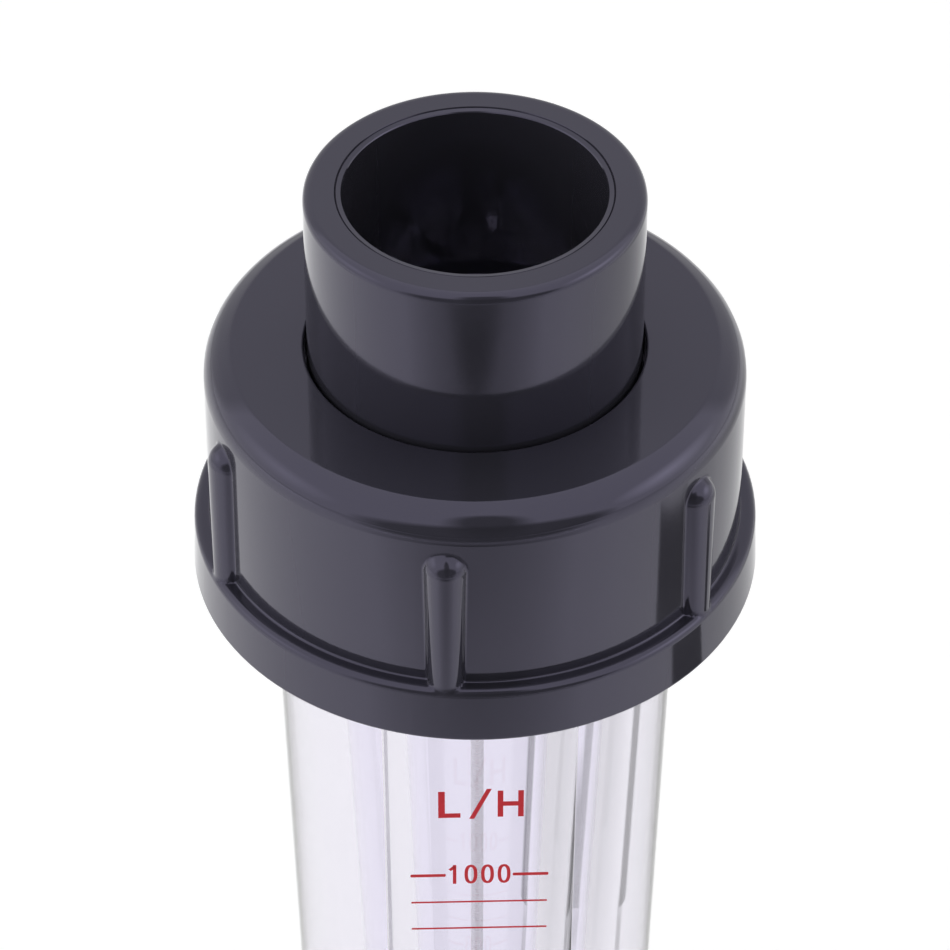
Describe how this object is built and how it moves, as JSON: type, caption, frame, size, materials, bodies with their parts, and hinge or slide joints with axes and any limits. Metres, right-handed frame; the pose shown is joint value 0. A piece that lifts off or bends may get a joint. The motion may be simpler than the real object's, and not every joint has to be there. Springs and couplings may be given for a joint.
{
  "type": "rotameter",
  "caption": "Upright variable-area flow meter: a clear tapered tube with a scale on a front flat, a float on a guide rod, and a ribbed union nut and pipe socket at each end.",
  "frame": {"origin": "centre of the inlet socket's mouth, on the surface that the meter stands on", "axes": "+Z along the tube, the way the liquid flows; -Y out of the flat that carries the scale"},
  "size_m": [0.0452, 0.0452, 0.175],
  "materials": {
    "dark_pvc": "semi-gloss moulded",
    "clear_plastic": "polished clear",
    "steel": "turned",
    "seal_rubber": "satin",
    "white_bush": "waxy"
  },
  "bodies": {
    "inlet_end": {"inlet_socket": "dark_pvc"},
    "inlet_ring": {"inlet_nut": "dark_pvc"},
    "tube": {"measuring_tube": "clear_plastic", "guide_rod": "steel", "lower_rod_support": "clear_plastic", "upper_rod_support": "clear_plastic", "lower_bumper": "seal_rubber", "upper_bumper": "seal_rubber", "lower_rod_washer": "steel", "upper_rod_washer": "steel", "lower_rod_nut": "steel", "upper_rod_nut": "steel", "inlet_seal": "seal_rubber", "outlet_seal": "seal_rubber"},
    "float": {"float_body": "steel", "float_lower_bush": "white_bush", "float_upper_bush": "white_bush"},
    "outlet_end": {"outlet_socket": "dark_pvc"},
    "outlet_ring": {"outlet_nut": "dark_pvc"}
  },
  "joints": [
    {"name": "inlet_nut_turn", "type": "hinge", "parent": "inlet_end", "child": "inlet_ring", "pos_m": [0, 0, 0.0355], "axis": [0, 0, -1], "range_deg": [0, 1440]},
    {"name": "tube_lift", "type": "slide", "parent": "inlet_end", "child": "tube", "axis": [0, 0, 1], "range_m": [0, 0.012]},
    {"name": "float_slide", "type": "slide", "parent": "tube", "child": "float", "axis": [0, 0, 1], "range_m": [0, 0.0638]},
    {"name": "outlet_lift", "type": "slide", "parent": "tube", "child": "outlet_end", "axis": [0, 0, 1], "range_m": [0, 0.012]},
    {"name": "outlet_nut_turn", "type": "hinge", "parent": "outlet_end", "child": "outlet_ring", "pos_m": [0, 0, 0.1395], "axis": [0, 0, 1], "range_deg": [0, 1440]}
  ],
  "couplings": [
    {"joint": "tube_lift", "follows": "inlet_nut_turn", "m_per_rad": 0.00047746},
    {"joint": "outlet_lift", "follows": "outlet_nut_turn", "m_per_rad": 0.00047746}
  ]
}
